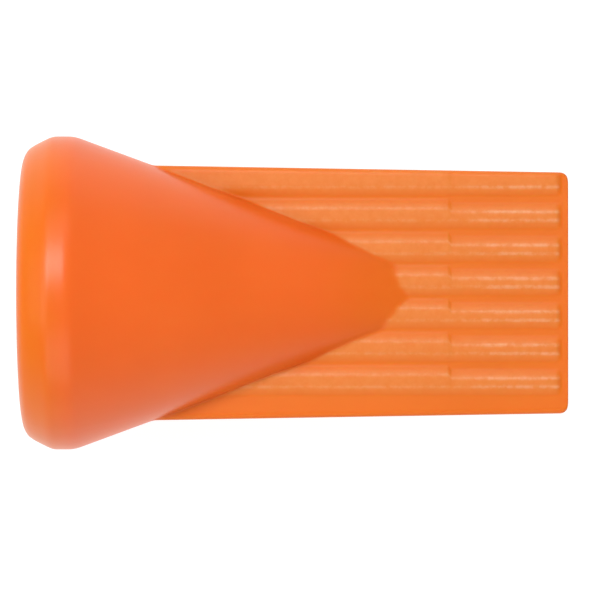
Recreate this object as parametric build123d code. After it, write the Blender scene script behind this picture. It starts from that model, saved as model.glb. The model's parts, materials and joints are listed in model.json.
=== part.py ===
from build123d import *
import math
import os

# Flat slot nozzle for a snap-together ball-and-socket coolant hose, one moulding.
# The origin is the centre of the ball seat. +X runs along the flow to the slot, +Y across
# the width of the slot and +Z square to the flat faces. All sizes are in millimetres, and
# a depth is measured along X from the end face of the lip.

# --- Driving dimensions -------------------------------------------------------------------
OVERALL_LENGTH = 54.7       # lip face to slot
SEAT_DEPTH = 5.0            # depth of the ball seat's centre
SEAT_RADIUS = 13.0
THROAT_RADIUS = 12.3        # the ball snaps in past this
COLLAR_RADIUS = 15.75       # the widest band, round the middle of the ball
DUCT_ROOT_WIDTH = 25.6      # flat duct where it leaves the cone
DUCT_TIP_WIDTH = 24.2       # flat duct at the slot
DUCT_THICKNESS = 2.8        # between the rib valleys
RIB_COUNT = 7
RIB_PITCH = 3.34
RIB_SHIFT = 1.03            # the rib pattern's centre, off the nozzle's centre line
RIB_HEIGHT = 0.32
SLOT_WIDTH = 21.4
SLOT_HEIGHT = 1.2
WALL = 2.1                  # round the cone

# --- Lip, band and cone -------------------------------------------------------------------
LIP_FACE_RADIUS = 12.95     # outer edge of the flat end face
LIP_SHOULDER_RADIUS = 14.7  # where the lip's round meets its taper
LIP_SHOULDER_DEPTH = 0.8
BAND_START = 2.9
BAND_END = 5.1
CREASE_ROUND = 1.2
MOUTH_CHAMFER = 0.25
CONE_SLOPE_Y = 0.369        # radius lost along the cone, in plan
CONE_SLOPE_Z = 0.43         # and from the side, where it flattens faster
CONE_LENGTH = 35.5          # it runs out inside the duct

# --- Duct and ribs ------------------------------------------------------------------------
DUCT_ROOT_DEPTH = 13.1      # where the cone has narrowed to the duct's width
DUCT_BURIED = 4.0           # length of the duct inside the cone
ROOT_ROUND = 0.6            # where the duct leaves the cone
DUCT_EDGE_ROUND = 0.5
DUCT_CORNER_ROUND = 0.8
WITNESS_DEPTH = 42.8        # step across every rib
RIB_CREST = 0.5             # half the flat top
RIB_FOOT = 1.3              # from the rib's middle to the foot of its side
REAR_WIDENING = 0.35        # the ribs are wider on one side between the cone and the step
RIB_CREST_ROUND = 0.3
RIB_STEP = 0.04             # the tip ribs are this much lower
RIB_END_MARGIN = 0.8        # plain strip at the slot

# --- Inside -------------------------------------------------------------------------------
PASSAGE_DEPTH = 12.0        # where the seat opens into the tapering passage
PASSAGE_LENGTH = 21.0
SLOT_ROOT_DEPTH = 16.0

LIP_X = -SEAT_DEPTH
TIP_X = LIP_X + OVERALL_LENGTH
CONE_X = LIP_X + BAND_END
DUCT_START_X = LIP_X + DUCT_ROOT_DEPTH - DUCT_BURIED
DUCT_DRAFT = (DUCT_ROOT_WIDTH - DUCT_TIP_WIDTH) / (OVERALL_LENGTH - DUCT_ROOT_DEPTH)
WITNESS_X = LIP_X + WITNESS_DEPTH
RIB_END_X = TIP_X - RIB_END_MARGIN


def across(x):
    """The YZ plane at x, with its own x along +Y."""
    return Plane(origin=(x, 0, 0), x_dir=(0, 1, 0), z_dir=(1, 0, 0))


def socket_ring():
    """The rounded lip, its taper and the band, still solid."""
    face_edge = (LIP_X, LIP_FACE_RADIUS)
    shoulder = (LIP_X + LIP_SHOULDER_DEPTH, LIP_SHOULDER_RADIUS)
    band_start = (LIP_X + BAND_START, COLLAR_RADIUS)
    band_end = (CONE_X, COLLAR_RADIUS)
    outline = [
        Line((LIP_X, 0), face_edge),
        TangentArc(face_edge, shoulder, tangent=(0, 1)),
        Line(shoulder, band_start),
        Line(band_start, band_end),
        Line(band_end, (CONE_X, 0)),
        Line((CONE_X, 0), (LIP_X, 0)),
    ]
    return revolve(make_face(outline), Axis.X)


def taper(start_x, length, inset):
    """The cone between start_x and start_x + length, drawn in by inset: round, then elliptic."""
    sections = []
    for x in (start_x, start_x + length):
        gone = x - CONE_X
        half_width = COLLAR_RADIUS - CONE_SLOPE_Y * gone - inset
        half_height = COLLAR_RADIUS - CONE_SLOPE_Z * gone - inset
        sections.append(across(x) * Ellipse(half_width, half_height))
    return loft(sections, ruled=True)


def duct():
    """The flat duct, drafted in width, with rounded side edges and tip corners."""
    start_width = DUCT_ROOT_WIDTH + DUCT_DRAFT * DUCT_BURIED
    root = across(DUCT_START_X) * RectangleRounded(start_width, DUCT_THICKNESS, DUCT_EDGE_ROUND)
    tip = across(TIP_X) * RectangleRounded(DUCT_TIP_WIDTH, DUCT_THICKNESS, DUCT_EDGE_ROUND)
    body = loft([root, tip], ruled=True)
    # The plan outline rounds the two corners at the slot.
    middle_x = (DUCT_START_X + TIP_X) / 2
    plan = Pos(middle_x, 0) * Rectangle(TIP_X - DUCT_START_X, 2 * DUCT_ROOT_WIDTH)
    corner = DUCT_TIP_WIDTH / 2
    cutter = Sketch()
    for side in (1, -1):
        square = Pos(TIP_X, side * corner) * Rectangle(2 * DUCT_CORNER_ROUND, 2 * DUCT_CORNER_ROUND)
        centre = Pos(TIP_X - DUCT_CORNER_ROUND, side * (corner - DUCT_CORNER_ROUND))
        cutter += square - centre * Circle(DUCT_CORNER_ROUND)
    return body & extrude(plan - cutter, DUCT_THICKNESS, both=True)


def duct_half_width(x):
    """Half the duct's width at x. The draft takes it in towards the slot."""
    return (DUCT_TIP_WIDTH + DUCT_DRAFT * (TIP_X - x)) / 2


def rib_section(x, y, widening, height, at_edge):
    """A rib's section at x on the upper face. The rib at the edge runs flat to the duct's side."""
    face = DUCT_THICKNESS / 2
    floor = face - RIB_HEIGHT
    foot = duct_half_width(x) if at_edge else y + RIB_FOOT + widening
    crest = foot if at_edge else y + RIB_CREST + widening
    outline = Polyline(
        (y - RIB_FOOT, floor),
        (y - RIB_FOOT, face),
        (y - RIB_CREST, face + height),
        (crest, face + height),
        (foot, face),
        (foot, floor),
        close=True,
    )
    return across(x) * make_face(outline)


def rib(start_x, end_x, y, widening, height, at_edge):
    """One length of rib, with its two long crest edges rounded."""
    ends = [rib_section(x, y, widening, height, at_edge) for x in (start_x, end_x)]
    bar = loft(ends, ruled=True)
    top = bar.faces().sort_by(Axis.Z)[-1]
    crests = top.edges().sort_by(SortBy.LENGTH)[-2:]
    return fillet(crests, RIB_CREST_ROUND)


def ribs():
    """The ribs of both faces. The lower face is the upper one turned half round about X."""
    upper = []
    for index in range(RIB_COUNT):
        y = RIB_SHIFT + (index - (RIB_COUNT - 1) / 2) * RIB_PITCH
        at_edge = index == RIB_COUNT - 1
        upper.append(rib(DUCT_START_X, WITNESS_X, y, REAR_WIDENING, RIB_HEIGHT, at_edge))
        upper.append(rib(WITNESS_X, RIB_END_X, y, 0, RIB_HEIGHT - RIB_STEP, at_edge))
    return upper + [Rot(180, 0, 0) * each for each in upper]


def ball_seat():
    """The hollow for the hose's ball, with its throat and the chamfer that leads in."""
    throat_x = -math.sqrt(SEAT_RADIUS**2 - THROAT_RADIUS**2)
    passage_x = LIP_X + PASSAGE_DEPTH
    passage_radius = math.sqrt(SEAT_RADIUS**2 - passage_x**2)
    chamfer_start = (LIP_X, THROAT_RADIUS + MOUTH_CHAMFER)
    throat_start = (LIP_X + MOUTH_CHAMFER, THROAT_RADIUS)
    throat_end = (throat_x, THROAT_RADIUS)
    seat_end = (passage_x, passage_radius)
    outline = [
        Line((LIP_X, 0), chamfer_start),
        Line(chamfer_start, throat_start),
        Line(throat_start, throat_end),
        ThreePointArc(throat_end, (0, SEAT_RADIUS), seat_end),
        Line(seat_end, (passage_x, 0)),
        Line((passage_x, 0), (LIP_X, 0)),
    ]
    return revolve(make_face(outline), Axis.X)


def slot():
    """The flat way out, rounded along both sides."""
    start_x = LIP_X + SLOT_ROOT_DEPTH
    section = across(start_x) * RectangleRounded(SLOT_WIDTH, SLOT_HEIGHT, SLOT_HEIGHT / 2.1)
    return extrude(section, TIP_X - start_x)


def soft_skirt():
    """The ring and the cone as one solid, with their circular creases rounded."""
    skirt = socket_ring() + taper(CONE_X, CONE_LENGTH, 0)
    crease_depths = (LIP_SHOULDER_DEPTH, BAND_START, BAND_END)
    creases = [
        edge
        for edge in skirt.edges()
        for depth in crease_depths
        if abs(edge.center().X - LIP_X - depth) < 0.01
    ]
    return fillet(creases, CREASE_ROUND)


def skin_without_ribs():
    """The skirt and the duct, with the root where they meet rounded."""
    skin = soft_skirt() + duct()
    roots = []
    for edge in skin.edges():
        box = edge.bounding_box()
        if box.min.X > CONE_X + DUCT_BURIED and box.max.X < WITNESS_X:
            roots.append(edge)
    return fillet(roots, ROOT_ROUND)


def nozzle():
    """The whole moulding: the outer skin less the seat, the passage and the slot."""
    skin = skin_without_ribs()
    for each in ribs():
        skin += each
    passage = taper(LIP_X + PASSAGE_DEPTH, PASSAGE_LENGTH, WALL)
    return skin - ball_seat() - passage - slot()


os.makedirs("parts", exist_ok=True)
body = nozzle()
body.label = "nozzle_body"
export_step(body, "parts/nozzle_body.step")
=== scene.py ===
import json
import math

import bpy
import numpy as np
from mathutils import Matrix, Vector


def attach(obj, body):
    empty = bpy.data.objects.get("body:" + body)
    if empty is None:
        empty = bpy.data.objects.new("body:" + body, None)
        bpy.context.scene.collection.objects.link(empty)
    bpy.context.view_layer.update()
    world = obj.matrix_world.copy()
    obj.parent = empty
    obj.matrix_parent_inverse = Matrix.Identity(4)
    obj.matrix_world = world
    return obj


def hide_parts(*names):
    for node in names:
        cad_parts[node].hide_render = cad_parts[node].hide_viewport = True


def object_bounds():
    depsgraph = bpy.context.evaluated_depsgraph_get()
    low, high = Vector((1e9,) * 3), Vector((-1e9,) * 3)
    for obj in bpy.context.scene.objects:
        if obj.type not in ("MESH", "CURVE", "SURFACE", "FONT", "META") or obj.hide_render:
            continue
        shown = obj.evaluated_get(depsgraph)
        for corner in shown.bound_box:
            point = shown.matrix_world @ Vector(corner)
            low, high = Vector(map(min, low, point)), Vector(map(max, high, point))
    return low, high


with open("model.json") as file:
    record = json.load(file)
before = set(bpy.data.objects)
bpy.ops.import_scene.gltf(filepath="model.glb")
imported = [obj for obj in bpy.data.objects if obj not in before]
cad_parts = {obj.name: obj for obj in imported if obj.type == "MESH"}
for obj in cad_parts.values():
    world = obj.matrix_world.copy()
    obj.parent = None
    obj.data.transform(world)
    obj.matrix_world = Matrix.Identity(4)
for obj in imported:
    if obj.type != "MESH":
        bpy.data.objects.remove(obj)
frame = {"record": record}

CAD_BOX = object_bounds()
LOW, HIGH = (Vector(corner) * 1000 for corner in CAD_BOX)  # millimetres, as all shapes below are
MM = 0.001

# --- Sizes, worked out from the CAD box ---------------------------------------------------
LIP_X = LOW.x                # end face of the socket
TIP_X = HIGH.x               # end of the duct, where the slot opens
RING_RADIUS = (HIGH.y - LOW.y) / 2
MOUTHS = {mount["name"]: mount for mount in frame["record"]["mounts"]}
THROAT_RADIUS = MOUTHS["socket_mouth"]["dims"]["r_mm"]
SEAT_RADIUS = 13.0

LIP_FACE_OUTER = 12.95
LIP_FACE_INNER = 12.55
SHOULDER_RADIUS = 14.7
SHOULDER_X = LIP_X + 0.8
BAND_START_X = LIP_X + 2.9
CONE_X = LIP_X + 5.1
CREASE = 0.24                # how far the ring's creases are blended
CONE_SLOPE_Y = 0.369
CONE_SLOPE_Z = 0.43

DUCT_ROOT_X = LIP_X + 13.1
DUCT_ROOT_HALF = 12.8
DUCT_TIP_HALF = 12.1
DUCT_HALF_THICKNESS = 1.4
EDGE_ROUND = 0.5
CORNER_ROUND = 0.8
TIP_EDGE_ROUND = 0.15
ROOT_BLEND = 0.15            # soft root where the cone meets the duct

RIB_COUNT = 7
RIB_PITCH = 3.34
RIB_SHIFT = 1.03
RIB_HEIGHT = 0.32
RIB_CREST = 0.24             # half the flat top
RIB_FOOT = 1.30              # from a rib's middle to the foot of its side
REAR_WIDENING = 0.36         # the ribs are wider on one side before the witness line
RIB_SIDE_CURVE = 1.5         # how a rib's side bends down: 1 would be straight
RIB_STEP = 0.04              # the ribs are this much lower after the witness line
WITNESS_X = LIP_X + 42.8     # the witness line, a step across every rib
WITNESS_SOFT = 0.25
RIB_END_X = TIP_X - 0.8
RIB_FADE_START = RIB_END_X - 0.5
RIB_FADE_END = RIB_END_X + 0.2
PAINTED_LIGHT_TOP = 0.35            # where the painted light on a rib's top starts to fade
PAINTED_LIGHT_FOOT = 1.50
PAINTED_LIGHT_EDGE = 0.35           # how much painted light the outermost rib keeps, out to the duct's side
PAINTED_HIGHLIGHT_OFFSET = 0.43          # the painted highlight lines, each side of a rib's middle
PAINTED_HIGHLIGHT_HALF_WIDTH = 0.14           # and their half width
PAINTED_HIGHLIGHT_REAR = 0.35           # how strong those painted highlights are before the witness line
CONE_TIP_PAINTED_GLOW = 0.6          # how far the cone's tip takes on the thin walls' painted glow

WALL = 2.1
SLOT_HALF_WIDTH = 10.7
SLOT_ROOT_HALF_WIDTH = 8.0
SLOT_HALF_HEIGHT = 0.6
SLOT_START_X = LIP_X + 13.0  # where the slot first shows inside the passage
SLOT_FULL_X = LIP_X + 17.5   # and where it has its full width
SLOT_LIP = 0.12
PASSAGE_START_X = LIP_X + 10.5  # the seat turns into the passage between these two
PASSAGE_FULL_X = LIP_X + 13.5
PASSAGE_BLEND = 0.8
RUN_OUT = 0.3                # a cone less than this high, each side, has run out


# --- Shape of the moulding ----------------------------------------------------------------
def smooth_step(value, start, end):
    """0 up to start and 1 from end on, with a soft rise between them."""
    part = np.clip((value - start) / (end - start), 0.0, 1.0)
    return part * part * (3 - 2 * part)


def soft_min(a, b, width):
    """The smaller of the two, blended where they are within width of each other."""
    part = np.maximum(width - np.abs(a - b), 0.0) / width
    return np.minimum(a, b) - part * part * width / 4


def lip_arc():
    """Radius of the lip's round. It runs on from the end face, so its centre is as deep."""
    run = SHOULDER_X - LIP_X
    rise = SHOULDER_RADIUS - LIP_FACE_OUTER
    return (run * run + rise * rise) / (2 * run)


LIP_ARC = lip_arc()


def ring_radius(x):
    """The ring's outer radius: the lip's round, its taper and the band."""
    inside = np.clip(x - LIP_X, 0.0, SHOULDER_X - LIP_X)
    rounded = LIP_FACE_OUTER + np.sqrt(np.maximum(2 * LIP_ARC * inside - inside * inside, 0.0))
    steep = (LIP_ARC - (SHOULDER_X - LIP_X)) / (SHOULDER_RADIUS - LIP_FACE_OUTER)
    rounded = rounded + steep * np.maximum(x - SHOULDER_X, 0.0)
    slope = (RING_RADIUS - SHOULDER_RADIUS) / (BAND_START_X - SHOULDER_X)
    taper = SHOULDER_RADIUS + slope * (x - SHOULDER_X)
    radius = np.where(x < SHOULDER_X - 0.5, rounded, soft_min(rounded, taper, CREASE))
    return soft_min(radius, RING_RADIUS, CREASE)


def cone_halves(x):
    """Half the width and half the height of the skirt, from the ring to where it runs out."""
    ring = ring_radius(x)
    gone = x - CONE_X
    half_width = soft_min(ring, RING_RADIUS - CONE_SLOPE_Y * gone, CREASE)
    half_height = soft_min(ring, RING_RADIUS - CONE_SLOPE_Z * gone, CREASE)
    return half_width, half_height


def ellipse_distance(y, z, half_width, half_height):
    """Roughly how far a point is outside an ellipse. Inside it, this is negative."""
    half_width = np.maximum(half_width, 0.05)
    half_height = np.maximum(half_height, 0.05)
    near = np.sqrt((y / half_width) ** 2 + (z / half_height) ** 2)
    slope = np.sqrt((y / half_width**2) ** 2 + (z / half_height**2) ** 2)
    return near * (near - 1) / np.maximum(slope, 1e-6)


def box_distance(y, z, half_width, half_height, corner):
    """How far a point is outside a rectangle with round corners."""
    across = np.abs(y) - (half_width - corner)
    up = np.abs(z) - (half_height - corner)
    outside = np.hypot(np.maximum(across, 0.0), np.maximum(up, 0.0))
    return outside + np.minimum(np.maximum(across, up), 0.0) - corner


def duct_half_width(x):
    """The duct's outline in plan: drafted sides and two rounded corners at the slot."""
    draft = (DUCT_ROOT_HALF - DUCT_TIP_HALF) / (TIP_X - DUCT_ROOT_X)
    half = DUCT_TIP_HALF + draft * (TIP_X - x)
    past = np.clip(x - (TIP_X - CORNER_ROUND), 0.0, CORNER_ROUND)
    return half - CORNER_ROUND + np.sqrt(CORNER_ROUND**2 - past**2)


def past_witness(x):
    """0 before the witness line and 1 after it, softly."""
    return smooth_step(x, WITNESS_X - WITNESS_SOFT, WITNESS_X + WITNESS_SOFT)


def rib_offsets(x, y, z):
    """How far a point is from each rib's flat middle. The lower face is turned half round."""
    side = np.where(z < 0, -y, y)
    widening = REAR_WIDENING * (1 - past_witness(x))
    offsets = []
    for index in range(RIB_COUNT):
        off = side - (RIB_SHIFT + (index - (RIB_COUNT - 1) / 2) * RIB_PITCH)
        offsets.append(np.where(off > 0, np.maximum(off - widening, 0.0), off))
    return offsets


def rib_rise(x, y, z):
    """How far the ribs stand above the duct's face."""
    rise = np.zeros_like(y)
    for index, off in enumerate(rib_offsets(x, y, z)):
        down = np.clip((np.abs(off) - RIB_CREST) / (RIB_FOOT - RIB_CREST), 0.0, 1.0)
        shape = 1 - down**RIB_SIDE_CURVE
        if index == RIB_COUNT - 1:
            shape = np.where(off > 0, 1.0, shape)
        rise = np.maximum(rise, shape)
    height = RIB_HEIGHT - RIB_STEP * past_witness(x)
    return rise * height * (1 - smooth_step(x, RIB_FADE_START, RIB_FADE_END))


def surface_values(x, y, z):
    """Values for the material: a painted glow on the thin walls, as if light shone through them, the
    duct, painted light on the ribs' tops with painted shade left in the valleys, and painted
    highlight lines along the ribs.
    """
    half_width, half_height = cone_halves(x)
    clear = smooth_step(ellipse_distance(y, z, half_width, half_height), -0.02, 0.2)
    duct = np.where(half_height < RUN_OUT, 1.0, clear)
    duct = duct * smooth_step(x, DUCT_ROOT_X - 2.0, DUCT_ROOT_X)
    # Painted glow: the lip and the cone's tip get the lighter, yellower tone of light shining
    # through thin walls.
    lip = 1 - smooth_step(x, LIP_X + 1.0, CONE_X + 1.0)
    cone_tip = CONE_TIP_PAINTED_GLOW * smooth_step(x, LIP_X + 27.0, LIP_X + 38.0)
    # Painted light: the ribs' tops and sides are made lighter, which leaves the valleys between them
    # in painted shade.
    top = np.zeros_like(x)
    # Painted highlights: thin whitish lines each side of every rib's middle.
    crest = np.zeros_like(x)
    for index, off in enumerate(rib_offsets(x, y, z)):
        painted_light = 1 - smooth_step(np.abs(off), PAINTED_LIGHT_TOP, PAINTED_LIGHT_FOOT)
        line = np.exp(-(((np.abs(off) - PAINTED_HIGHLIGHT_OFFSET) / PAINTED_HIGHLIGHT_HALF_WIDTH) ** 2))
        if index == RIB_COUNT - 1:
            painted_light = np.where(off > 0, np.maximum(painted_light, PAINTED_LIGHT_EDGE), painted_light)
            line = np.where(off > 0, 0.0, line)
        top = np.maximum(top, painted_light)
        crest = np.maximum(crest, line)
    before_end = 1 - smooth_step(x, RIB_END_X - 0.4, RIB_END_X + 0.1)
    # The painted highlight lines are strongest near the tip.
    highlight_near_tip = PAINTED_HIGHLIGHT_REAR + (1 - PAINTED_HIGHLIGHT_REAR) * smooth_step(x, WITNESS_X + 1.0, WITNESS_X + 5.0)
    outside = np.abs(z) > DUCT_HALF_THICKNESS - 0.2
    return {
        # painted glow, as if light shone through the thin walls of the duct, lip and cone tip
        "painted_glow_slim_walls": np.maximum(duct, lip + cone_tip),
        "duct": duct,
        "painted_rib_light": duct * top * before_end * outside,
        "painted_rib_highlights": duct * crest * before_end * highlight_near_tip * outside,
    }


def outer_distance(x, y, z):
    """The outside: the ring and the cone, joined to the duct with its ribs."""
    half_width, half_height = cone_halves(x)
    cone = ellipse_distance(y, z, half_width, half_height)
    cone = np.where(half_height < RUN_OUT, np.maximum(cone, 0.5), cone)
    thickness = DUCT_HALF_THICKNESS + rib_rise(x, y, z)
    duct = box_distance(y, z, duct_half_width(x), thickness, EDGE_ROUND)
    joined = soft_min(cone, duct, ROOT_BLEND)
    return np.where(x < CONE_X + 1.0, cone, joined)


def inner_distance(x, y, z):
    """The hollow: the ball seat, the tapering passage and the slot."""
    gone = x - CONE_X
    half_width = RING_RADIUS - CONE_SLOPE_Y * gone - WALL
    half_height = RING_RADIUS - CONE_SLOPE_Z * gone - WALL
    seat = np.sqrt(np.maximum(SEAT_RADIUS**2 - x * x, 0.0))
    past = smooth_step(x, PASSAGE_START_X + 0.5, PASSAGE_FULL_X - 0.5)
    half_width = seat + (half_width - seat) * past
    half_height = seat + (half_height - seat) * past
    passage = ellipse_distance(y, z, half_width, half_height)
    passage = np.where(half_height < RUN_OUT, np.maximum(passage, 0.5), passage)
    opened = smooth_step(x, SLOT_START_X, SLOT_FULL_X)
    slot_half = SLOT_ROOT_HALF_WIDTH + (SLOT_HALF_WIDTH - SLOT_ROOT_HALF_WIDTH) * opened
    slot = box_distance(y, z, slot_half, SLOT_HALF_HEIGHT, SLOT_HALF_HEIGHT - 0.02)
    return np.where(x < SLOT_START_X, passage, soft_min(passage, slot, PASSAGE_BLEND))


# --- Mesh of the moulding -----------------------------------------------------------------
# Every section is cut by the same fan of rays in the YZ plane. They start on the Y axis and
# lean outwards, so that each one meets the cone, the duct's face and both sides of every rib
# once. The lower half of the fan is the upper half turned half round about X.
FAN_HALF = 10.6              # the rays start within this distance of the middle
FAN_LEAN = math.radians(20)
LEAN_SPREAD = 2.5            # how far from the middle the rays soon lean fully
EDGE_RAYS = 16               # round each end of the fan
RIB_RAYS = 24                # for each rib
FAN_REACH = 20.0             # well outside the ring
HALVINGS = 34
NARROWED = 0.92              # the fan is this much narrower inside, to stay in the slot
RIBS_ONLY_X = LIP_X + 41.0   # past the cone's end, where little changes along the ribs
SLOT_ONLY_X = 28.0           # the same inside, near the passage's end


def ray_fan():
    """Where each ray starts along Y, and its direction."""
    starts = []
    leans = []
    for step in range(EDGE_RAYS):
        starts.append(FAN_HALF)
        leans.append(math.pi / 2 + (FAN_LEAN - math.pi / 2) * step / EDGE_RAYS)
    count = round(2 * FAN_HALF / (RIB_PITCH / RIB_RAYS))
    for step in range(count + 1):
        start = FAN_HALF - 2 * FAN_HALF * step / count
        starts.append(start)
        leans.append(FAN_LEAN * math.tanh(start / LEAN_SPREAD))
    for step in range(1, EDGE_RAYS):
        starts.append(-FAN_HALF)
        leans.append(-(FAN_LEAN + (math.pi / 2 - FAN_LEAN) * step / EDGE_RAYS))
    starts = np.array(starts)
    leans = np.array(leans)
    across = np.concatenate([np.sin(leans), -np.sin(leans)])
    up = np.concatenate([np.cos(leans), -np.cos(leans)])
    return np.concatenate([starts, -starts]), across, up


RAY_START, RAY_ACROSS, RAY_UP = ray_fan()


def section(x, distance, inset=0.0, narrowed=1.0):
    """The points at x where the rays leave the solid, as an array of x, y, z."""
    start = RAY_START * narrowed
    near = np.zeros_like(start)
    far = np.full_like(start, FAN_REACH)
    for _ in range(HALVINGS):
        middle = (near + far) / 2
        inside = distance(x, start + middle * RAY_ACROSS, middle * RAY_UP) < -inset
        near = np.where(inside, middle, near)
        far = np.where(inside, far, middle)
    middle = (near + far) / 2
    return np.stack([np.full_like(start, x), start + middle * RAY_ACROSS, middle * RAY_UP], axis=1)


def circle(x, radius, narrowed=1.0):
    """The points at x where the rays meet a circle, for the lip and the throat."""
    start = RAY_START * narrowed
    lean = start * RAY_ACROSS
    reach = -lean + np.sqrt(lean * lean + radius * radius - start * start)
    return np.stack([np.full_like(start, x), start + reach * RAY_ACROSS, reach * RAY_UP], axis=1)


def even(start, end, step):
    """Evenly spaced values from start to just before end."""
    count = max(1, round(abs(end - start) / step))
    return [start + (end - start) * index / count for index in range(count)]


def outer_sections():
    """The outside's sections, from the lip to the duct's rounded end. Close where it curves."""
    sections = [circle(LIP_X, LIP_FACE_OUTER)]
    turn = math.asin((SHOULDER_RADIUS - LIP_FACE_OUTER) / LIP_ARC)
    for step in range(1, 12):
        x = LIP_X + LIP_ARC * (1 - math.cos(turn * step / 12))
        sections.append(circle(x, float(ring_radius(np.array(x)))))
    places = even(SHOULDER_X, CONE_X + 1.0, 0.16)
    places += even(CONE_X + 1.0, DUCT_ROOT_X - 1.5, 0.5)
    places += even(DUCT_ROOT_X - 1.5, RIBS_ONLY_X, 0.32)
    places += even(RIBS_ONLY_X, WITNESS_X - WITNESS_SOFT, 0.6)
    places += even(WITNESS_X - WITNESS_SOFT, WITNESS_X + WITNESS_SOFT, 0.08)
    places += even(WITNESS_X + WITNESS_SOFT, RIB_FADE_START, 1.0)
    places += even(RIB_FADE_START, RIB_FADE_END, 0.1)
    places += even(RIB_FADE_END, TIP_X - TIP_EDGE_ROUND, 0.07)
    sections += [section(x, outer_distance) for x in places]
    for step in range(6):
        turn = math.pi / 2 * step / 5
        x = TIP_X - TIP_EDGE_ROUND * (1 - math.sin(turn))
        sections.append(section(x, outer_distance, TIP_EDGE_ROUND * (1 - math.cos(turn))))
    return sections


def inner_sections():
    """The hollow's sections, from the slot's rounded edge back to the lip."""
    sections = []
    for step in range(5):
        turn = math.pi / 2 * step / 4
        x = TIP_X - SLOT_LIP * (1 - math.cos(turn))
        sections.append(section(x, inner_distance, -SLOT_LIP * (1 - math.sin(turn)), NARROWED))
    places = even(TIP_X - 0.3, SLOT_ONLY_X, 2.0)
    places += even(SLOT_ONLY_X, PASSAGE_FULL_X, 0.6)
    places += even(PASSAGE_FULL_X, PASSAGE_START_X, 0.3)
    sections += [section(x, inner_distance, 0.0, NARROWED) for x in places]
    throat_x = -math.sqrt(SEAT_RADIUS**2 - THROAT_RADIUS**2)
    for x in even(PASSAGE_START_X, throat_x, 0.6) + [throat_x]:
        sections.append(circle(x, math.sqrt(SEAT_RADIUS**2 - x * x), NARROWED))
    chamfer_end = LIP_X + LIP_FACE_INNER - THROAT_RADIUS
    for x in (throat_x - 0.06, throat_x - 0.25, chamfer_end):
        sections.append(circle(x, THROAT_RADIUS, NARROWED))
    for step in range(1, 5):
        turn = math.pi / 2 * step / 4
        drop = LIP_FACE_INNER - THROAT_RADIUS
        x = chamfer_end - drop * math.sin(turn)
        sections.append(circle(x, THROAT_RADIUS + drop * (1 - math.cos(turn)), NARROWED))
    return sections


def nozzle_mesh():
    """One closed skin: out over the ring, cone and duct, in at the slot and back to the lip."""
    rings = outer_sections() + inner_sections()
    count = len(RAY_START)
    points = np.concatenate(rings) * MM
    faces = []
    for ring in range(len(rings)):
        here = ring * count
        there = (ring + 1) % len(rings) * count
        for ray in range(count):
            beside = (ray + 1) % count
            faces.append((here + ray, here + beside, there + beside, there + ray))
    mesh = bpy.data.meshes.new("nozzle_body_skin")
    mesh.from_pydata([tuple(point) for point in points.tolist()], [], faces)
    mesh.validate()
    mesh.polygons.foreach_set("use_smooth", [True] * len(mesh.polygons))
    for name, values in surface_values(*np.concatenate(rings).T).items():
        attribute = mesh.attributes.new(name, "FLOAT", "POINT")
        attribute.data.foreach_set("value", values)
    mesh.update()
    return mesh


# --- Material -----------------------------------------------------------------------------
def noise(tree, scale, detail):
    """A noise texture in the part's own space, so that it stays with the surface."""
    coordinates = tree.nodes.new("ShaderNodeTexCoord")
    texture = tree.nodes.new("ShaderNodeTexNoise")
    texture.inputs["Scale"].default_value = scale
    texture.inputs["Detail"].default_value = detail
    tree.links.new(coordinates.outputs["Object"], texture.inputs["Vector"])
    return texture.outputs["Fac"]


def tone_ramp(tree, factor, dark, light):
    """A soft ramp between two tones."""
    ramp = tree.nodes.new("ShaderNodeValToRGB")
    ramp.color_ramp.interpolation = "EASE"
    ramp.color_ramp.elements[0].position = 0.25
    ramp.color_ramp.elements[0].color = (*dark, 1)
    ramp.color_ramp.elements[1].position = 0.75
    ramp.color_ramp.elements[1].color = (*light, 1)
    tree.links.new(factor, ramp.inputs["Fac"])
    return ramp.outputs["Color"]


def blend_by(tree, attribute, first, second):
    """Mix two colours by a value that the mesh holds at each point."""
    value = tree.nodes.new("ShaderNodeAttribute")
    value.attribute_name = attribute
    mix = tree.nodes.new("ShaderNodeMix")
    mix.data_type = "RGBA"
    tree.links.new(value.outputs["Fac"], mix.inputs["Factor"])
    tree.links.new(first, mix.inputs["A"])
    tree.links.new(second, mix.inputs["B"])
    return mix.outputs["Result"]


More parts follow.
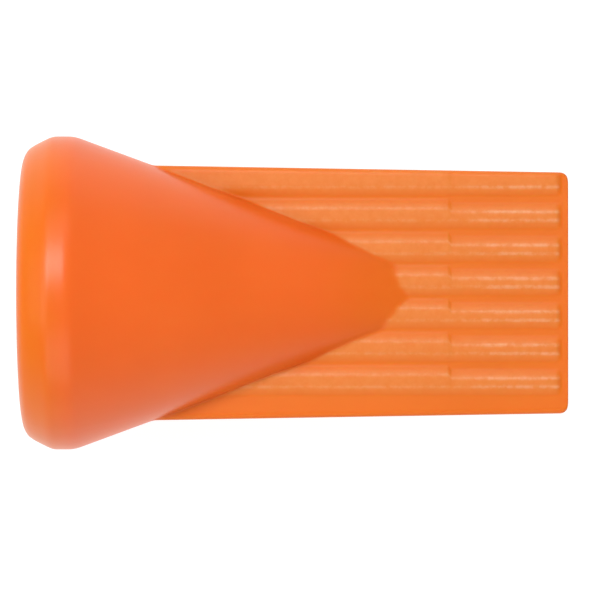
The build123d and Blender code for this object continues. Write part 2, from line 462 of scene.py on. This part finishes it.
def orange_acetal():
    """Satin moulded acetal, with cloudy colour and a fine grain, painted light on the rib tops,
    painted highlight lines along them and a painted glow on the thin walls.
    """
    material = bpy.data.materials.new("orange_acetal")
    material.use_nodes = True
    tree = material.node_tree
    shader = tree.nodes["Principled BSDF"]
    shader.inputs["IOR"].default_value = 1.48
    shader.inputs["Specular IOR Level"].default_value = 0.3
    shader.inputs["Subsurface Weight"].default_value = 0.3
    shader.inputs["Subsurface Radius"].default_value = (0.0022, 0.0008, 0.0003)
    shader.inputs["Subsurface Scale"].default_value = 1.0

    cloud = noise(tree, 90.0, 3.0)
    # A fine speckle in the painted light and painted highlights on the ribs.
    highlight_speckle = noise(tree, 1500.0, 4.0)
    # thick is the moulding's own orange; thin is that orange painted lighter and yellower, a painted
    # glow of light shining through the thin walls.
    thick = tone_ramp(tree, cloud, (0.72, 0.112, 0.011), (0.75, 0.121, 0.013))
    thin = tone_ramp(tree, cloud, (0.66, 0.132, 0.002), (0.69, 0.140, 0.003))
    # top: painted light on the ribs' tops, lighter than the shaded valleys.
    top = tone_ramp(tree, highlight_speckle, (0.65, 0.168, 0.020), (0.67, 0.188, 0.030))
    # crest: painted highlight lines, whitish.
    crest = tone_ramp(tree, highlight_speckle, (0.65, 0.190, 0.035), (0.71, 0.310, 0.150))
    tone = blend_by(tree, "painted_glow_slim_walls", thick, thin)
    tone = blend_by(tree, "painted_rib_light", tone, top)
    tone = blend_by(tree, "painted_rib_highlights", tone, crest)
    tree.links.new(tone, shader.inputs["Base Color"])

    bump = tree.nodes.new("ShaderNodeBump")
    bump.inputs["Strength"].default_value = 0.12
    bump.inputs["Distance"].default_value = 0.00003
    tree.links.new(noise(tree, 3500.0, 3.0), bump.inputs["Height"])
    tree.links.new(bump.outputs["Normal"], shader.inputs["Normal"])

    gloss = tree.nodes.new("ShaderNodeMapRange")
    gloss.inputs["To Min"].default_value = 0.28
    gloss.inputs["To Max"].default_value = 0.38
    tree.links.new(cloud, gloss.inputs["Value"])
    duct = tree.nodes.new("ShaderNodeAttribute")
    duct.attribute_name = "duct"
    matt = tree.nodes.new("ShaderNodeMath")
    matt.operation = "MULTIPLY_ADD"
    matt.inputs[1].default_value = 0.12
    tree.links.new(duct.outputs["Fac"], matt.inputs[0])
    tree.links.new(gloss.outputs["Result"], matt.inputs[2])
    tree.links.new(matt.outputs["Value"], shader.inputs["Roughness"])
    return material


nozzle = bpy.data.objects.new("nozzle_body_moulding", nozzle_mesh())
bpy.context.collection.objects.link(nozzle)
nozzle.data.materials.append(orange_acetal())
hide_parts("nozzle_body")
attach(nozzle, "root")


# --- Floor, light and camera --------------------------------------------------------------
def pale_floor():
    """A light table: it glows a little, so that it stays white round the object."""
    material = bpy.data.materials.new("pale_floor")
    material.use_nodes = True
    shader = material.node_tree.nodes["Principled BSDF"]
    shader.inputs["Base Color"].default_value = (0.22, 0.22, 0.22, 1)
    shader.inputs["Roughness"].default_value = 0.8
    shader.inputs["Emission Color"].default_value = (1, 1, 1, 1)
    shader.inputs["Emission Strength"].default_value = 0.88
    return material


def add_floor():
    """A wide floor at the height of the ring's lowest point."""
    half = 3.0
    low = LOW.z * MM
    mesh = bpy.data.meshes.new("floor")
    corners = [(-half, -half, low), (half, -half, low), (half, half, low), (-half, half, low)]
    mesh.from_pydata(corners, [], [(0, 1, 2, 3)])
    mesh.materials.append(pale_floor())
    floor = bpy.data.objects.new("floor", mesh)
    bpy.context.collection.objects.link(floor)


def add_lamp(name, azimuth, elevation, width, height, radiance):
    """A softbox in metres that faces the object. Azimuth 0 is +X and 90 is +Y."""
    turn = math.radians(azimuth)
    rise = math.radians(elevation)
    away = Vector((math.cos(rise) * math.cos(turn), math.cos(rise) * math.sin(turn), math.sin(rise)))
    lamp = bpy.data.lights.new(name, "AREA")
    lamp.shape = "RECTANGLE"
    lamp.size = width
    lamp.size_y = height
    lamp.energy = radiance * math.pi * width * height
    obj = bpy.data.objects.new(name, lamp)
    obj.location = MIDDLE + away * LAMP_DISTANCE
    obj.rotation_euler = away.to_track_quat("Z", "Y").to_euler()
    bpy.context.collection.objects.link(obj)


def add_world():
    """A white studio: bright round the horizon, dimmer overhead."""
    world = bpy.data.worlds.new("studio")
    world.use_nodes = True
    tree = world.node_tree
    coordinates = tree.nodes.new("ShaderNodeTexCoord")
    height = tree.nodes.new("ShaderNodeSeparateXYZ")
    tree.links.new(coordinates.outputs["Generated"], height.inputs["Vector"])
    ramp = tree.nodes.new("ShaderNodeValToRGB")
    ramp.color_ramp.elements[0].position = 0.06
    ramp.color_ramp.elements[0].color = (1, 1, 1, 1)
    ramp.color_ramp.elements[1].position = 0.30
    ramp.color_ramp.elements[1].color = (0.35, 0.35, 0.35, 1)
    tree.links.new(height.outputs["Z"], ramp.inputs["Fac"])
    background = tree.nodes["Background"]
    tree.links.new(ramp.outputs["Color"], background.inputs["Color"])
    background.inputs["Strength"].default_value = 1.0
    bpy.context.scene.world = world


MIDDLE = Vector(((LOW.x + HIGH.x) / 2, 0, 0)) * MM
LAMP_DISTANCE = 0.6
add_floor()
add_world()
add_lamp("key", 120, 66, 0.28, 0.22, 12.0)
add_lamp("end", 178, 50, 0.50, 0.36, 1.5)
add_lamp("side_upper", 92, 42, 0.60, 0.24, 1.2)
add_lamp("side_lower", 268, 42, 0.60, 0.40, 1.5)

VIEW_DISTANCE = 0.444        # the camera looks straight down
FRAME_WIDTH = 0.0594         # what it takes in at the height of the duct's middle
VIEW_X = 0.02227
VIEW_Y = -0.00021
camera_data = bpy.data.cameras.new("camera")
camera_data.sensor_width = 36
camera_data.lens = camera_data.sensor_width * VIEW_DISTANCE / FRAME_WIDTH
camera_data.clip_start = 0.01
camera = bpy.data.objects.new("camera", camera_data)
camera.location = (VIEW_X, VIEW_Y, VIEW_DISTANCE)
bpy.context.collection.objects.link(camera)
bpy.context.scene.camera = camera
bpy.context.scene.view_settings.view_transform = "Standard"
